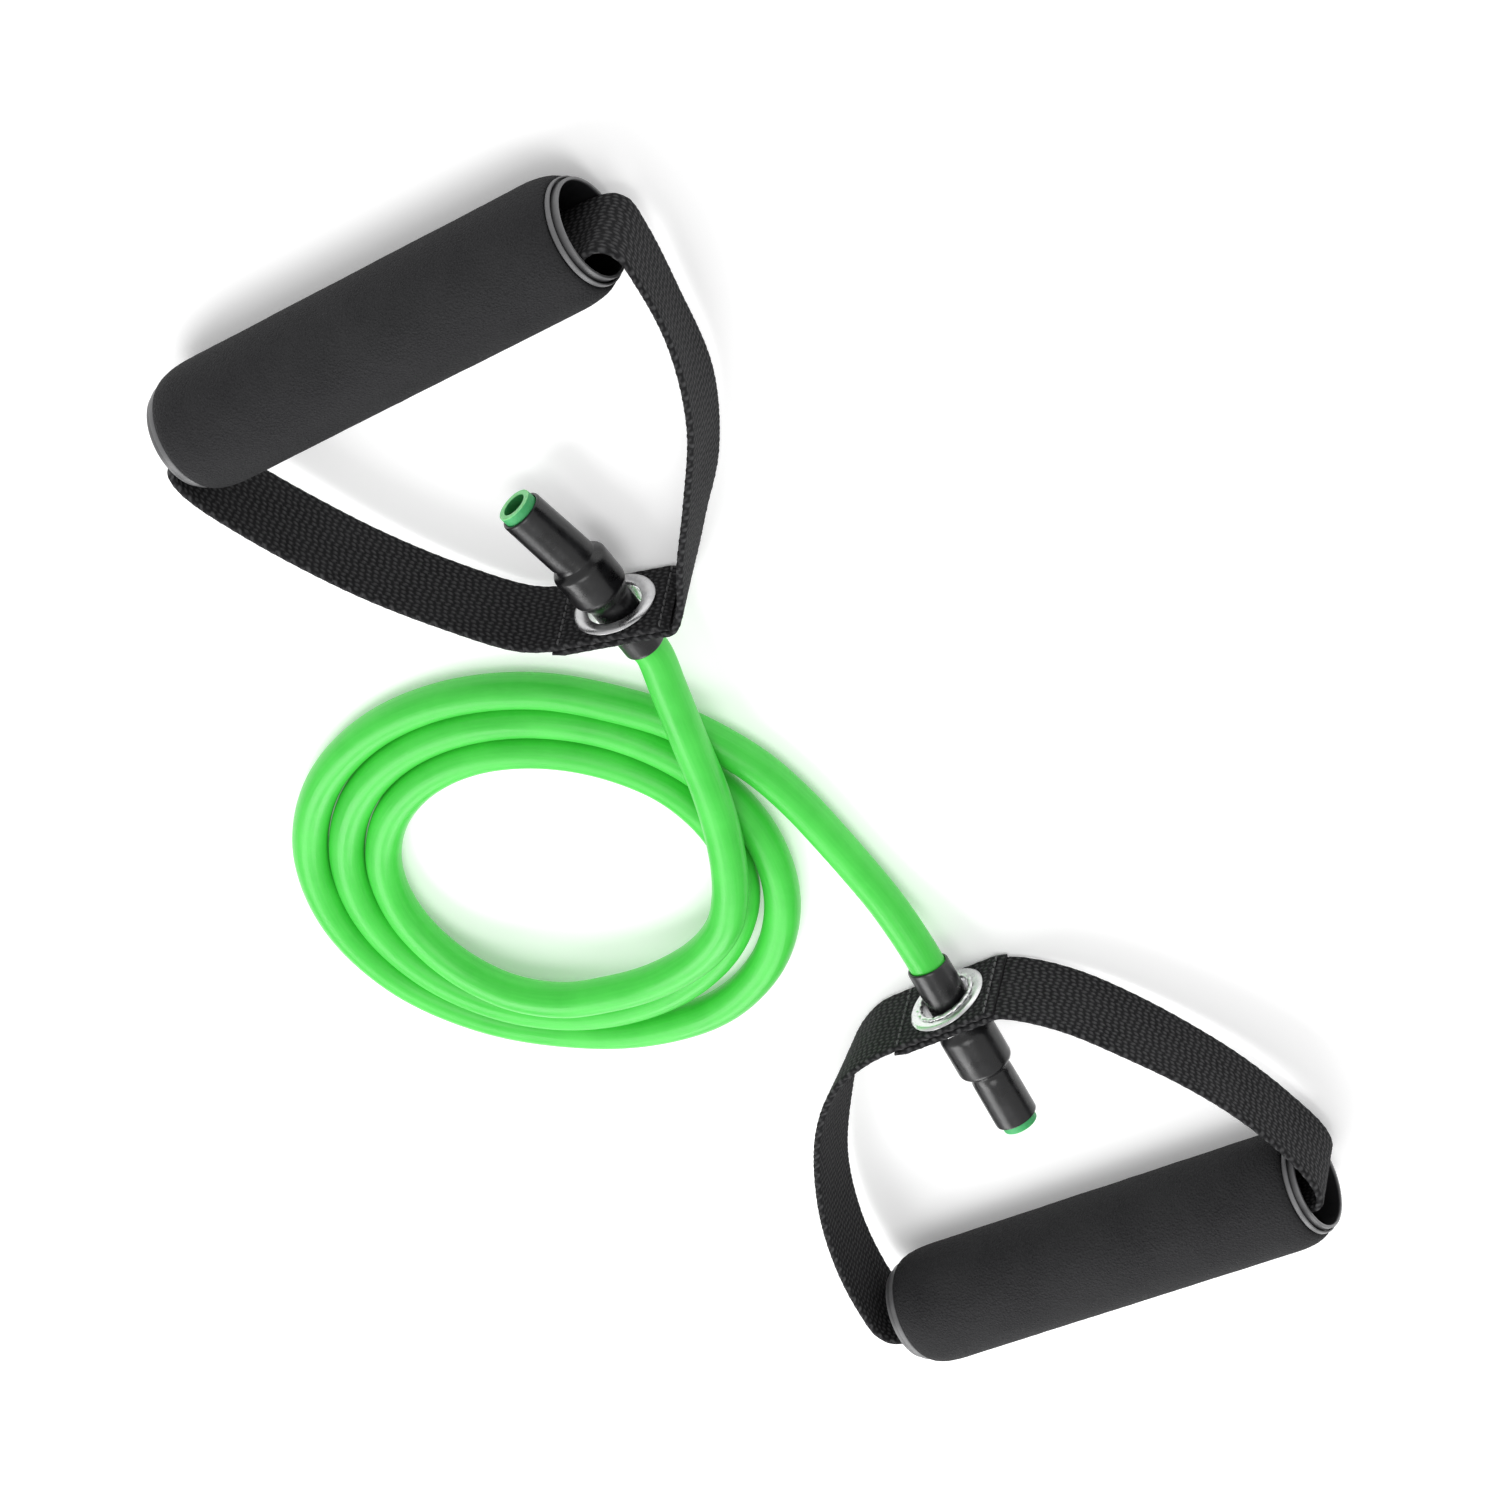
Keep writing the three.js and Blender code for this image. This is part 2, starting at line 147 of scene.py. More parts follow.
# How far each leg's upper edge leans outwards, in mm, at the quarters from the grip to the overlap.
LEAN = {
    "a": {"right": (0, 0.5, 0.5, 0, 0), "left": (1, 1.5, -1, -2.5, 0)},
    "b": {"right": (0, 1, 0.8, 0, 0), "left": (0, 0.7, 1.5, 2.7, 0)},
}
ROUTE_A = [(-0.0346, 0.0324, 0.0134), (-0.0258, 0.0174, 0.0155), (-0.0178, 0.0022, 0.0156),
           (-0.012, -0.0112, 0.0156), (-0.0076, -0.0248, 0.0156), (-0.0056, -0.035, 0.0156),
           (-0.0053, -0.046, 0.0156)]
ROUTE_B = [(0.041, -0.0372, 0.0074), (0.0343, -0.031, 0.0058), (0.0265, -0.0238, 0.0051),
           (0.0164, -0.0142, 0.00505), (0.0052, -0.0042, 0.00505)]
COIL_EXIT = [(-0.0305, 0.0128, 0.005), (-0.0182, 0.0092, 0.005), (-0.0062, 0.0038, 0.005)]


# ---- Camera ----

def add_camera():
    """Looks down from the +Y side, turned over so that +Y points up in the picture."""
    target = Vector((-0.010, 0.005, 0.0))
    distance = 1.45
    elevation = math.radians(46.5)
    roll = math.radians(194)
    back = Vector((0, math.cos(elevation), math.sin(elevation)))
    level_right = Vector((-1, 0, 0))
    level_up = Vector((0, -math.sin(elevation), math.cos(elevation)))
    right = level_right * math.cos(roll) + level_up * math.sin(roll)
    up = level_up * math.cos(roll) - level_right * math.sin(roll)
    data = bpy.data.cameras.new("camera")
    data.sensor_width = 36
    data.lens = 131.4
    data.clip_start = 0.05
    camera = bpy.data.objects.new("camera", data)
    turn = Matrix((right, up, back)).transposed().to_4x4()
    camera.matrix_world = Matrix.Translation(target + back * distance) @ turn
    bpy.context.scene.collection.objects.link(camera)
    bpy.context.scene.camera = camera


add_camera()


# ---- Frames taken from the joints ----

JOINTS = {joint["name"]: joint for joint in frame["joints"]}


def axes_to_matrix(x, y, z, origin):
    """The matrix of a frame with those axes."""
    return Matrix.Translation(origin) @ Matrix((x, y, z)).transposed().to_4x4()


def handle_frame(tag):
    """x along the grip, y towards the grommet, z up, origin in the middle of the grip."""
    origin = Vector(JOINTS[f"grip_spin_{tag}"]["pos_m"])
    x = Vector(JOINTS[f"grip_spin_{tag}"]["axis"]).normalized()
    to_grommet = Vector(JOINTS[f"strap_swivel_{tag}"]["pos_m"]) - origin
    y = (to_grommet - x * to_grommet.dot(x)).normalized()
    return axes_to_matrix(x, y, x.cross(y), origin)


def end_frame(tag):
    """Origin in the grommet, +X along the band and away from the handle."""
    origin = Vector(JOINTS[f"strap_swivel_{tag}"]["pos_m"])
    x = Vector(JOINTS[f"strap_swivel_{tag}"]["axis"]).normalized()
    y = Vector((0, 0, 1)).cross(x).normalized()
    return axes_to_matrix(x, y, x.cross(y), origin)


def grommet_frame(tag):
    """Origin in the grommet, +X out of the strap towards the band."""
    handle = handle_frame(tag)
    origin = Vector(JOINTS[f"strap_swivel_{tag}"]["pos_m"])
    turn = math.radians(LAP_TURN[tag] + 90)
    x = handle.to_3x3() @ Vector((math.cos(turn), math.sin(turn), 0))
    z = handle.to_3x3() @ Vector((0, 0, 1))
    return axes_to_matrix(x, z.cross(x), z, origin)


# ---- Mesh helpers ----

def smooth_path(points, spacing):
    """Centripetal Catmull-Rom curve through the points, as evenly spaced points."""
    given = np.array([tuple(p) for p in points])
    padded = np.vstack([2 * given[0] - given[1], given, 2 * given[-1] - given[-2]])
    fine = []
    share = np.linspace(0, 1, 24, endpoint=False)[:, None]
    for p0, p1, p2, p3 in zip(padded, padded[1:], padded[2:], padded[3:]):
        t0, t1, t2 = (np.linalg.norm(b - a) ** 0.5 for a, b in ((p0, p1), (p1, p2), (p2, p3)))
        leave = t1 * ((p1 - p0) / t0 - (p2 - p0) / (t0 + t1) + (p2 - p1) / t1)
        reach = t1 * ((p2 - p1) / t1 - (p3 - p1) / (t1 + t2) + (p3 - p2) / t2)
        square = -3 * p1 + 3 * p2 - 2 * leave - reach
        cube = 2 * p1 - 2 * p2 + leave + reach
        fine.append(p1 + leave * share + square * share ** 2 + cube * share ** 3)
    fine = np.vstack([*fine, given[-1]])
    along = np.concatenate([[0], np.cumsum(np.linalg.norm(np.diff(fine, axis=0), axis=1))])
    even = np.linspace(0, along[-1], max(2, round(along[-1] / spacing)) + 1)
    return np.stack([np.interp(even, along, fine[:, k]) for k in range(3)], axis=1)


def path_length(path):
    return float(np.linalg.norm(np.diff(path, axis=0), axis=1).sum())


def tangents_of(path):
    tangents = np.gradient(path, axis=0)
    return tangents / np.linalg.norm(tangents, axis=1)[:, None]


def place(points, matrix):
    """An array of points moved by a matrix."""
    m = np.array(matrix)
    return points @ m[:3, :3].T + m[:3, 3]


def skin(name, rings, look, around, along, closed=False, marks=None):
    """A closed body over a stack of rings; closed joins the last ring to the first instead of capping both.
    around and along are the UV coordinates of a ring's points and of the rings, in metres."""
    count, size, _ = rings.shape
    row = np.arange(count if closed else count - 1)[:, None]
    col = np.arange(size)[None, :]
    row_next = (row + 1) % count
    col_next = (col + 1) % size
    corners = [row * size + col, row * size + col_next, row_next * size + col_next, row_next * size + col]
    faces = np.stack(corners, axis=-1).reshape(-1, 4).tolist()
    u = np.append(around, around[-1] + around[1] - around[0])
    v = np.append(along, along[-1] + along[1] - along[0])
    u0, u1 = (np.broadcast_to(u[c], (len(row), size)) for c in (col, col + 1))
    v0, v1 = (np.broadcast_to(v[r], (len(row), size)) for r in (row, row + 1))
    uv = np.stack([u0, v0, u1, v0, u1, v1, u0, v1], axis=-1).reshape(-1, 2)
    if not closed:
        faces.append(list(range(size)))
        faces.append([(count - 1) * size + k for k in range(size)])
        uv = np.vstack([uv, np.zeros((2 * size, 2))])
    mesh = bpy.data.meshes.new(name)
    mesh.from_pydata(rings.reshape(-1, 3).tolist(), [], faces)
    mesh.uv_layers.new(name="UVMap").data.foreach_set("uv", uv.ravel())
    if marks is not None:
        mesh.attributes.new("mark", "FLOAT", "POINT").data.foreach_set("value", marks.ravel())
    return finish_mesh(name, mesh, look)


def finish_mesh(name, mesh, look):
    """Faces out, smooth shading, material, and an object in the scene."""
    work = bmesh.new()
    work.from_mesh(mesh)
    bmesh.ops.recalc_face_normals(work, faces=work.faces)
    work.to_mesh(mesh)
    work.free()
    mesh.shade_smooth()
    mesh.materials.append(look)
    piece = bpy.data.objects.new(name, mesh)
    bpy.context.scene.collection.objects.link(piece)
    return piece


def fillet(outline, radius, steps=3):
    """A closed outline with each corner rounded."""
    count = len(outline)
    result = []
    for k, corner in enumerate(outline):
        corner = np.array(corner)
        ends = []
        for other in (outline[k - 1], outline[(k + 1) % count]):
            side = np.array(other) - corner
            length = np.linalg.norm(side)
            ends.append(corner + side / length * min(radius, 0.45 * length))
        for t in np.linspace(0, 1, steps + 1):
            result.append((1 - t) ** 2 * ends[0] + 2 * t * (1 - t) * corner + t ** 2 * ends[1])
    return np.array(result)


def bend_tail(points, end):
    """Turns what lies behind the plug's shoulder about the upright axis there."""
    x = points[..., 0] + end["shoulder"]
    y = points[..., 1]
    angle = math.radians(end["bend"]) * np.clip(-x / BEND_LENGTH, 0, 1)
    return np.stack([x * np.cos(angle) - y * np.sin(angle) - end["shoulder"],
                     x * np.sin(angle) + y * np.cos(angle), points[..., 2]], axis=-1)


def turned(name, outline, matrix, look, sides=72, shape=None, mark=None, end=None):
    """A body turned about +X from a closed outline of (along X, radius). shape may move a point, by angle."""
    outline = np.asarray(outline)
    angle = np.linspace(0, 2 * math.pi, sides, endpoint=False)[:, None]
    along = np.repeat(outline[None, :, 0], sides, axis=0)
    radius = np.repeat(outline[None, :, 1], sides, axis=0)
    marks = None if mark is None else mark(along, radius)
    if shape is not None:
        along, radius = shape(along, radius, angle)
    rings = np.stack([along, radius * np.cos(angle), radius * np.sin(angle)], axis=-1)
    if end is not None:
        rings = bend_tail(rings, end)
    steps = np.linalg.norm(np.diff(outline, axis=0), axis=1)
    around = np.concatenate([[0], np.cumsum(steps)])
    turn = angle[:, 0] * outline[:, 1].max()
    return skin(name, place(rings, matrix), look, around, turn, closed=True, marks=marks)


# ---- Material helpers ----

class Look:
    """A material with a Principled shader and short calls for its nodes."""

    def __init__(self, name, color, roughness, **sockets):
        self.material = bpy.data.materials.new(name)
        self.material.use_nodes = True
        self.tree = self.material.node_tree
        self.shader = self.tree.nodes["Principled BSDF"]
        self.shader.inputs["Base Color"].default_value = (*color, 1)
        self.shader.inputs["Roughness"].default_value = roughness
        for socket, value in sockets.items():
            self.shader.inputs[socket.replace("_", " ")].default_value = value

    def node(self, kind, settings=None, **inputs):
        node = self.tree.nodes.new(kind)
        for key, value in (settings or {}).items():
            setattr(node, key, value)
        for key, value in inputs.items():
            socket = node.inputs[key.replace("_", " ")]
            if isinstance(value, bpy.types.NodeSocket):
                self.tree.links.new(value, socket)
            else:
                socket.default_value = value
        return node

    def coordinates(self, kind, scale):
        """Object or UV coordinates, stretched."""
        source = self.node("ShaderNodeTexCoord").outputs[kind]
        return self.node("ShaderNodeMapping", Vector=source, Scale=scale).outputs["Vector"]

    def noise(self, where, scale, detail=3.0, roughness=0.55):
        made = self.node("ShaderNodeTexNoise", Vector=where, Scale=scale, Detail=detail, Roughness=roughness)
        return made.outputs["Fac"]

    def ramp(self, value, low, high):
        """value spread from low to high, clamped, in place of the noise's own 0.3 to 0.7."""
        made = self.node("ShaderNodeMapRange", Value=value, From_Min=0.3, From_Max=0.7, To_Min=low,
                         To_Max=high)
        return made.outputs["Result"]

    def blend(self, share, first, second):
        """Two colours mixed. The colour sockets of a Mix node are 6 and 7, and its colour output is 2."""
        made = self.node("ShaderNodeMix", {"data_type": "RGBA"}, Factor=share)
        for socket, color in ((made.inputs[6], first), (made.inputs[7], second)):
            if isinstance(color, bpy.types.NodeSocket):
                self.tree.links.new(color, socket)
            else:
                socket.default_value = (*color, 1)
        return made.outputs[2]

    def join(self, output, socket):
        self.tree.links.new(output, self.shader.inputs[socket])

    def bump(self, *layers):
        """layers are (height, distance in metres), coarse to fine."""
        normal = None
        for height, distance in layers:
            made = self.node("ShaderNodeBump", Height=height, Distance=distance)
            if normal is not None:
                self.tree.links.new(normal, made.inputs["Normal"])
            normal = made.outputs["Normal"]
        self.join(normal, "Normal")


# ---- Materials ----

def latex_look():
    """Bright satin rubber with faint lengthwise streaks from the die it was drawn through."""
    look = Look("green_latex", (0.05, 0.62, 0.05), 0.34, Specular_IOR_Level=0.42, Subsurface_Weight=0.1,
                Subsurface_Scale=0.003, Subsurface_Radius=(0.3, 1.0, 0.3))
    cloud = look.noise(look.coordinates("Object", (1, 1, 1)), 60.0, 4.0)
    streaks = look.noise(look.coordinates("UV", (1500, 40, 1)), 1.0, 3.0)
    base = look.blend(look.ramp(cloud, 0.0, 1.0), (0.042, 0.53, 0.046), (0.064, 0.63, 0.066))
    look.join(look.blend(look.ramp(streaks, 0.0, 0.25), base, (0.10, 0.72, 0.09)), "Base Color")
    look.join(look.ramp(cloud, 0.28, 0.42), "Roughness")
    peel = look.noise(look.coordinates("Object", (1, 1, 1)), 900.0, 2.0)
    look.bump((streaks, 0.00006), (peel, 0.00004))
    return look.material


def cut_latex_look():
    """The tube's sawn ends: pale and dull on the cut face (mark 1), with painted shade down the bore (mark
    -1).
    """
    look = Look("cut_latex", (0.07, 0.45, 0.12), 0.5, Specular_IOR_Level=0.35, Subsurface_Weight=0.1,
                Subsurface_Scale=0.002)
    grain = look.noise(look.coordinates("Object", (1, 1, 1)), 1400.0, 4.0)
    mark = look.node("ShaderNodeAttribute", {"attribute_name": "mark"}).outputs["Fac"]
    pale = look.blend(look.ramp(grain, 0.0, 1.0), (0.24, 0.80, 0.30), (0.38, 0.92, 0.42))
    outside = look.blend(mark, (0.06, 0.42, 0.14), pale)
    # Painted shade down the bore, where mark is -1.
    bore_shade = look.node("ShaderNodeMapRange", Value=mark, From_Min=-1.0, From_Max=0.0, To_Min=1.0, To_Max=0.0)
    look.join(look.blend(bore_shade.outputs["Result"], outside, (0.02, 0.22, 0.05)), "Base Color")
    look.bump((grain, 0.00015))
    return look.material


def foam_look():
    """Matte closed-cell foam: fine cells, soft cloudy patches and a slightly polished skin."""
    look = Look("black_foam", (0.024, 0.024, 0.025), 0.85, Specular_IOR_Level=0.14)
    where = look.coordinates("Object", (1, 1, 1))
    patches = look.noise(where, 55.0, 5.0, 0.6)
    cells = look.node("ShaderNodeTexVoronoi", Vector=where, Scale=1500.0).outputs["Distance"]
    grain = look.noise(where, 2600.0, 2.0)
    base = look.blend(look.ramp(patches, 0.0, 1.0), (0.012, 0.012, 0.013), (0.027, 0.027, 0.028))
    look.join(look.blend(look.ramp(grain, 0.0, 0.5), base, (0.042, 0.042, 0.044)), "Base Color")
    look.join(look.ramp(patches, 0.72, 0.92), "Roughness")
    look.bump((patches, 0.0007), (cells, 0.0003), (grain, 0.00018))
    return look.material


def webbing_look():
    """Woven black yarn, with painted highlight where the bumps stand highest and painted shade between them,
    and fibres along each yarn.
    """
    look = Look("black_webbing", (0.015, 0.015, 0.016), 0.8, Specular_IOR_Level=0.1)
    height = look.node("ShaderNodeAttribute", {"attribute_name": "mark"}).outputs["Fac"]
    fibres = look.noise(look.coordinates("UV", (9000, 900, 1)), 1.0, 3.0)
    dust = look.noise(look.coordinates("Object", (1, 1, 1)), 120.0, 4.0)
    # Painted light from the weave's height: painted highlight on the bumps, painted shade between them.
    painted_bump_light = look.node("ShaderNodeMapRange", Value=height, From_Min=0.3, From_Max=0.85).outputs["Result"]
    base = look.blend(painted_bump_light, (0.003, 0.003, 0.0035), (0.082, 0.082, 0.084))
    base = look.blend(look.ramp(fibres, 0.0, 0.35), base, (0.036, 0.036, 0.038))
    look.join(look.blend(look.ramp(dust, 0.0, 0.15), base, (0.05, 0.05, 0.052)), "Base Color")
    look.join(look.ramp(fibres, 0.65, 0.85), "Roughness")
    look.bump((fibres, 0.0001))
    return look.material


def thread_look():
    look = Look("sewing_thread", (0.09, 0.09, 0.095), 0.55, Sheen_Weight=0.2)
    twist = look.node("ShaderNodeTexWave", Vector=look.coordinates("UV", (1, 1, 1)), Scale=900.0)
    # Painted highlight on the twist's ridges and painted shade in its grooves, from the wave that also makes
    # the bump.
    look.join(look.blend(twist.outputs["Fac"], (0.05, 0.05, 0.053), (0.16, 0.16, 0.165)), "Base Color")
    look.bump((twist.outputs["Fac"], 0.00008))
    return look.material


def plastic_look(name, color, roughness, bore=None):
    """Moulded plastic with a fine spark-eroded grain and a little handling shine. bore is the colour of
    the painted shade on the marked places."""
    look = Look(name, color, roughness, Specular_IOR_Level=0.5)
    where = look.coordinates("Object", (1, 1, 1))
    rubbed = look.noise(where, 110.0, 4.0)
    grain = look.noise(where, 3200.0, 2.0)
    lighter = tuple(min(1, c * 1.35) for c in color)
    darker = tuple(c * 0.8 for c in color)
    mixed = look.blend(look.ramp(rubbed, 0.0, 1.0), darker, lighter)
    if bore is not None:
        # Painted shade on the marked places.
        mark = look.node("ShaderNodeAttribute", {"attribute_name": "mark"}).outputs["Fac"]
        mixed = look.blend(mark, mixed, bore)
    look.join(mixed, "Base Color")
    look.join(look.ramp(rubbed, roughness - 0.08, roughness + 0.1), "Roughness")
    look.bump((grain, 0.00005))
    return look.material


def nickel_look():
    """Bright plated brass, with fine scratches and a slightly clouded plate."""
    look = Look("nickel_plate", (0.80, 0.80, 0.81), 0.2, Metallic=1.0)
    where = look.coordinates("Object", (1, 1, 1))
    cloud = look.noise(where, 260.0, 4.0)
    scratches = look.noise(look.coordinates("Object", (300, 4000, 900)), 1.0, 2.0)
    look.join(look.blend(look.ramp(cloud, 0.0, 1.0), (0.66, 0.66, 0.67), (0.86, 0.86, 0.86)), "Base Color")
    look.join(look.ramp(cloud, 0.22, 0.36), "Roughness")
    look.bump((scratches, 0.00002))
    return look.material


def sleeve_look():
    """Black shrunk sleeve with a broad soft shine and lengthwise ripples."""
    look = Look("shrunk_sleeve", (0.006, 0.006, 0.007), 0.3, Specular_IOR_Level=0.6)
    where = look.coordinates("Object", (1, 1, 1))
    smear = look.noise(where, 180.0, 4.0)
    ripple = look.noise(where, 420.0, 2.0)
    black = look.blend(look.ramp(smear, 0.0, 1.0), (0.003, 0.003, 0.0035), (0.009, 0.009, 0.010))
    look.join(black, "Base Color")
    look.join(look.ramp(smear, 0.24, 0.36), "Roughness")
    look.bump((ripple, 0.00007))
    return look.material


LATEX = latex_look()
CUT_LATEX = cut_latex_look()
FOAM = foam_look()
WEBBING = webbing_look()
THREAD = thread_look()
# The last colour is painted shade in the ring's bore and groove.
RING_PLASTIC = plastic_look("ring_plastic", (0.12, 0.12, 0.123), 0.36, (0.012, 0.012, 0.013))
DARK_PLASTIC = plastic_look("dark_plastic", (0.03, 0.03, 0.032), 0.5)
NICKEL = nickel_look()
SLEEVE = sleeve_look()


# ---- Elastic band ----

def coil_turns():
    """Three turns side by side, clockwise from the inside; the first rolls off its neighbour, and on one
    side they lean on each other."""
    points = []
    count = round((COIL_LAST - COIL_FIRST) * COIL_POINTS)
    for turn in np.linspace(COIL_FIRST, COIL_LAST, count + 1):
        angle = -2 * math.pi * turn
        radius = COIL_START_R + COIL_PITCH * turn
        radius += COIL_OVAL * math.cos(2 * (angle - math.radians(COIL_OVAL_TURN)))
        heap = math.exp(-((turn % 1 - HEAP_AT) / HEAP_HALF) ** 2)
        lean = math.radians(HEAP_LEAN) * heap
        roll = math.radians(ROLL_ANGLE) * max(0, 1 - turn / ROLL_OFF) ** 2
        leaning_on = math.floor(COIL_LAST) - math.floor(turn)     # turns outside this one
        radius += COIL_PITCH * (1 - math.cos(roll)) - HEAP_INWARDS * heap
        radius += COIL_PITCH * leaning_on * (1 - math.cos(lean))
        for middle, half_width, outwards in COIL_STRAYS:
            radius += outwards * math.exp(-((turn - middle) / half_width) ** 2)
        height = BAND_R + COIL_PITCH * (math.sin(roll) + leaning_on * math.sin(lean))
        x = COIL_CENTRE[0] + radius * math.cos(angle)
        y = COIL_CENTRE[1] + radius * math.sin(angle)
        points.append((x, y, height))
    return points


def straight_start(tag):
    """The stretch of tube that the end sleeve holds straight, from the grommet on."""
    at = end_frame(tag)
    back = ENDS[tag]["back"]
    return [tuple(at @ Vector((along, 0, 0))) for along in (0, 6.3 * MM, 10 * MM, back, back + 4 * MM)]


def band_path():
    start, end = straight_start("a"), straight_start("b")
    points = [*start, *ROUTE_A, *coil_turns(), *COIL_EXIT, *reversed(ROUTE_B), *reversed(end)]
    return smooth_path(points, BAND_STEP)


def tube_rings(path, radius, sides):
    """Rings of a tube round a path, carried along without twist."""
    tangents = tangents_of(path)
    normal = np.cross(tangents[0], (0, 0, 1.0))
    angle = np.linspace(0, 2 * math.pi, sides, endpoint=False)[:, None]
    rings = []
    for point, tangent in zip(path, tangents):
        normal = normal - tangent * normal.dot(tangent)
        normal = normal / np.linalg.norm(normal)
        other = np.cross(tangent, normal)
        rings.append(point + radius * (np.cos(angle) * normal + np.sin(angle) * other))
    return np.array(rings)


def add_band():
    path = band_path()
    rings = tube_rings(path, BAND_R, BAND_SIDES)
    around = np.linspace(0, 2 * math.pi * BAND_R, BAND_SIDES, endpoint=False)
    along = np.linspace(0, path_length(path), len(path))
    band = skin("elastic_band", rings, LATEX, around, along)
    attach(band, "band")
    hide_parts("band_coil", "band_tail_a", "band_tail_b")
    return band, path


# ---- Band ends ----

def swelling(base, swollen, tail, shoulder):
    """Outline over the plug, from the grommet towards the cut end, up to an abrupt shoulder."""
    return [(-SWELL_FROM, base), (-SWELL_FULL, swollen), (SHOULDER_NEAR - shoulder, swollen),
            (-shoulder - SHOULDER_FAR, tail)]


def add_sleeve(tag):
    end = ENDS[tag]
    shoulder = end["shoulder"] + 0.2 * MM
    bore = BAND_R + 0.08 * MM
    outside = swelling(SLEEVE_R, BULGE_R, SLEEVE_TAIL_R, shoulder)
    inside = swelling(bore, BULGE_R - SLEEVE_WALL, bore, shoulder)
    bends = np.arange(end["shoulder"] + 1 * MM, end["shoulder"] + 5 * MM, 0.5 * MM)
    behind = np.arange(bends[-1] + 1 * MM, end["front"] - 1 * MM, 1 * MM)
    tail = [(-x, SLEEVE_TAIL_R) for x in (*bends, *behind)]
    outline = [(end["back"], bore), (end["back"], SLEEVE_R), *outside, *tail, (-end["front"], SLEEVE_TAIL_R),
               (-end["front"], bore), *[(-x, bore) for x in bends[::-1]], *reversed(inside)]

    def shape(along, radius, angle):
        """Uneven cut edge, and a crease where the sleeve shrank in behind the plug."""
        edge = np.clip((along - 0.8 * end["back"]) / (0.2 * end["back"]), 0, 1)
        crease = np.exp(-((along + end["shoulder"] + 1.6 * MM) / (1.1 * MM)) ** 2)
        along = along + edge * 0.4 * MM * np.sin(angle + 0.6)
        radius = radius - crease * 0.3 * MM * (0.6 + 0.4 * np.sin(3 * angle + 1.1))
        radius = radius + 0.06 * MM * np.sin(2 * angle + along * 160)
        return along, np.maximum(radius, bore)

    sleeve = turned(f"shrunk_sleeve_{tag}", fillet(outline, 0.9 * MM, 5), end_frame(tag), SLEEVE, sides=80,
                    shape=shape, end=end)
    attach(sleeve, "band")
    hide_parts(f"end_sleeve_{tag}")
    return sleeve


def add_tube_tip(tag):
    end = ENDS[tag]
    outside = swelling(BAND_R, BULGE_R - SLEEVE_WALL - GAP, BAND_R, end["shoulder"])
    inside = [(-POCKET_NECK, BORE_R), (-POCKET_FROM, POCKET_R), (-POCKET_TO, POCKET_R),
              (-end["shoulder"] - 1 * MM, BORE_R)]
    bends = np.arange(end["shoulder"] + 1.5 * MM, end["shoulder"] + 5 * MM, 0.5 * MM)
    outline = [(-GAP, BORE_R), (-GAP, BAND_R), *outside, *[(-x, BAND_R) for x in bends],
               (-end["tip"], BAND_R), (-end["tip"], BORE_R), *[(-x, BORE_R) for x in bends[::-1]],
               *reversed(inside)]

    def mark(along, radius):
        """1 on the cut face, -1 in the bore where shade is painted, 0 outside."""
        at_cut = along < 0.3 * MM - end["tip"]
        in_bore = radius < BORE_R + 0.05 * MM
        return np.where(in_bore & ~at_cut, -1.0, np.where(at_cut, 1.0, 0.0))

    tip = turned(f"tube_tip_{tag}", fillet(outline, 0.35 * MM), end_frame(tag), CUT_LATEX, sides=64,
                 mark=mark, end=end)
    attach(tip, "band")
    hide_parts(f"band_end_{tag}")
    return tip


# ---- Grips ----

def foam_shape(along, radius, angle):
    """Soft hollows in the skin, and small cells. Foam never stands proud of its own size."""
    moved = radius.copy()
    for row in range(along.shape[0]):
        for col in range(along.shape[1]):
            turn = float(angle[row, 0])
            spot = Vector((along[row, col], GRIP_R * math.cos(turn), GRIP_R * math.sin(turn)))
            slow = noise.noise(spot * 90) + 0.5 * noise.noise(spot * 240)
            fine = noise.noise(spot * 1100)
            moved[row, col] -= 0.16 * MM * (1.2 + slow) * 0.5 + 0.05 * MM * (1 + fine)
    return along, np.where(radius > CORE_R + 0.5 * MM, moved, radius)


def add_foam(tag):
    outside = []
    for angle in np.linspace(0, math.pi / 2, 9):
        radius = GRIP_END_R + (GRIP_R - GRIP_END_R) * math.sin(angle)
        outside.append((GRIP_HALF - GRIP_ROUND * (1 - math.cos(angle)), radius))
    flat = GRIP_HALF - GRIP_ROUND
    middle = [(x, GRIP_R) for x in np.linspace(flat, -flat, 74)[1:-1]]
    bore = CORE_R + GAP
    other_side = [(-x, r) for x, r in reversed(outside)]
    outline = [(GRIP_HALF, bore), *outside, *middle, *other_side, (-GRIP_HALF, bore)]
    foam = turned(f"foam_sleeve_{tag}", outline, handle_frame(tag), FOAM, sides=128, shape=foam_shape)
    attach(foam, f"grip_{tag}")
    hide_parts(f"foam_grip_{tag}")


